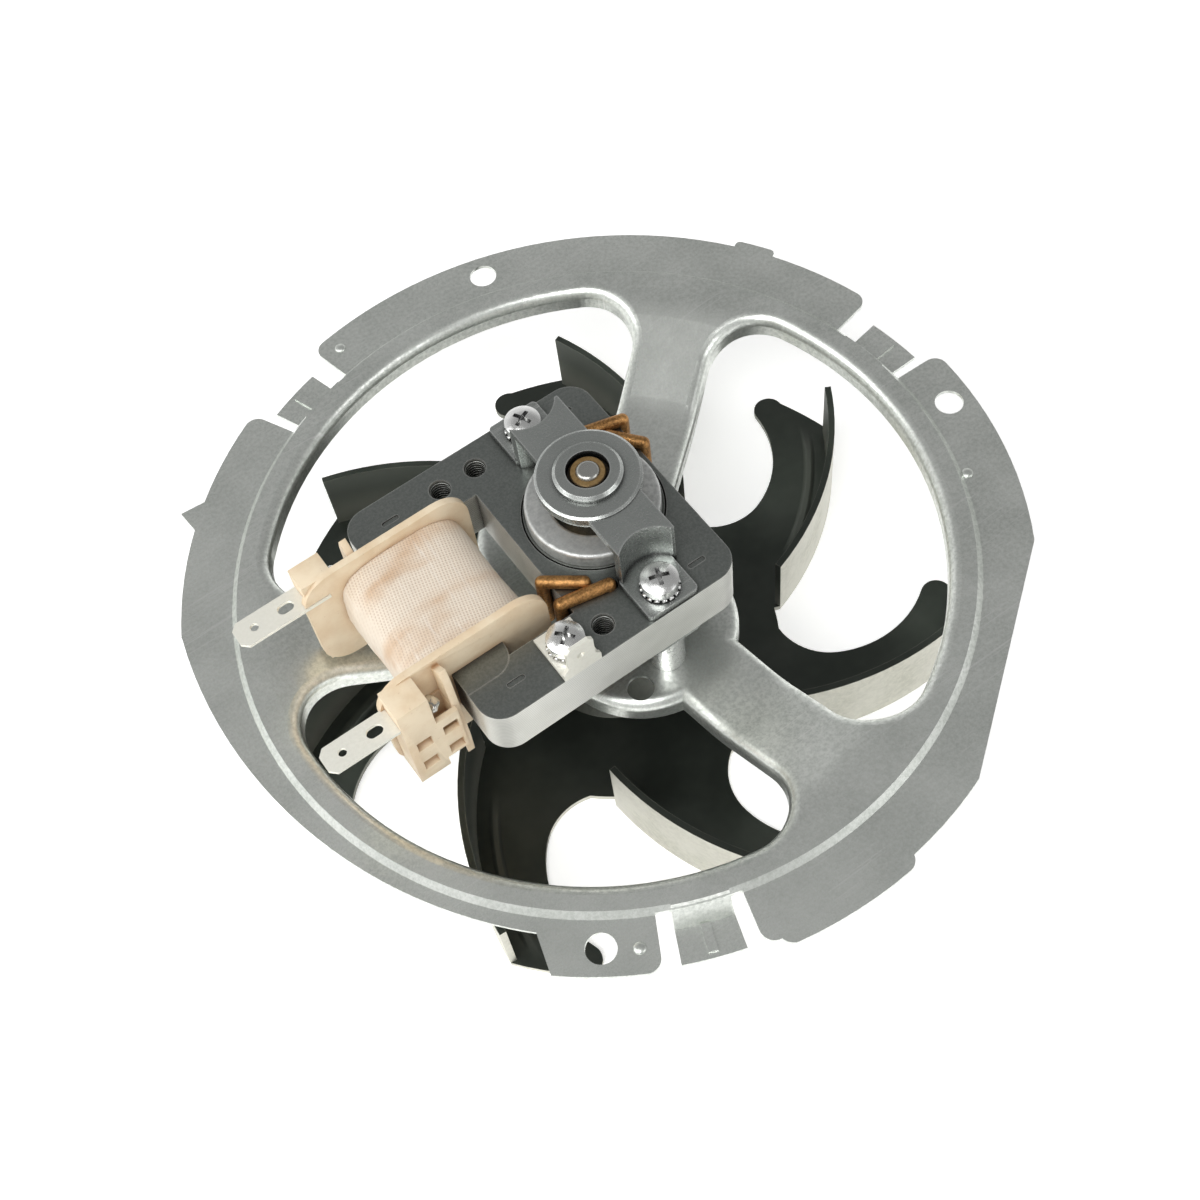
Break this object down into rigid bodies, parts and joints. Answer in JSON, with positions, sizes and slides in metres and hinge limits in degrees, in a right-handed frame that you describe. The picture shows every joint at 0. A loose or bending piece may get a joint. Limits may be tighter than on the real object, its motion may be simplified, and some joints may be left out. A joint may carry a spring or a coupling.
{
  "type": "oven fan motor",
  "caption": "Shaded-pole induction motor on a round spoked mounting plate, with a radial fan impeller of bent-up blades on its shaft.",
  "frame": {"origin": "on the shaft axis, in the plane of the mounting flange's underside", "axes": "+Z along the shaft, away from the impeller; +X along the laminations from the coil to the rotor"},
  "size_m": [0.1794, 0.1871, 0.0756],
  "materials": {
    "zinc_plate": "galvanised sheet, satin, fine grain",
    "strap_zinc": "zinc-plated pressing, satin",
    "lamination_steel": "electrical steel sheet, satin",
    "screw_zinc": "bright zinc",
    "copper": "bare drawn copper",
    "bronze": "sintered bronze",
    "felt": "oiled felt",
    "bobbin_plastic": "heat-resistant moulding, cream",
    "coil_cloth": "woven glass tape",
    "enamelled_wire": "enamelled copper wire",
    "tinned_tab": "tinned brass",
    "cage_aluminium": "cast aluminium, dull",
    "shaft_steel": "ground steel",
    "impeller_steel": "aluminised sheet steel, smooth",
    "washer_fibre": "laminated fibre"
  },
  "bodies": {
    "frame": {"mounting_plate": "zinc_plate", "stator_core": "lamination_steel", "coil_core": "lamination_steel", "shading_rings": "copper", "upper_bracket": "strap_zinc", "lower_bracket": "strap_zinc", "upper_bush": "bronze", "lower_bush": "bronze", "upper_retainer": "strap_zinc", "lower_retainer": "strap_zinc", "upper_felt": "felt", "lower_felt": "felt", "bracket_screws": "screw_zinc", "earth_screw": "screw_zinc", "screw_washers": "screw_zinc", "spacers": "screw_zinc", "plate_nuts": "screw_zinc", "earth_tab": "tinned_tab", "bobbin": "bobbin_plastic", "coil_winding": "enamelled_wire", "coil_tape": "coil_cloth", "terminal_left": "tinned_tab", "terminal_right": "tinned_tab"},
    "rotor": {"rotor_core": "lamination_steel", "rotor_cage": "cage_aluminium", "thrust_washers": "washer_fibre", "shaft": "shaft_steel", "impeller": "impeller_steel", "impeller_hub": "shaft_steel", "impeller_washer": "screw_zinc", "impeller_nut": "screw_zinc"}
  },
  "joints": [
    {"name": "rotor_spin", "type": "hinge", "parent": "frame", "child": "rotor", "pos_m": [0, 0, 0], "axis": [0, 0, 1], "continuous": true}
  ]
}
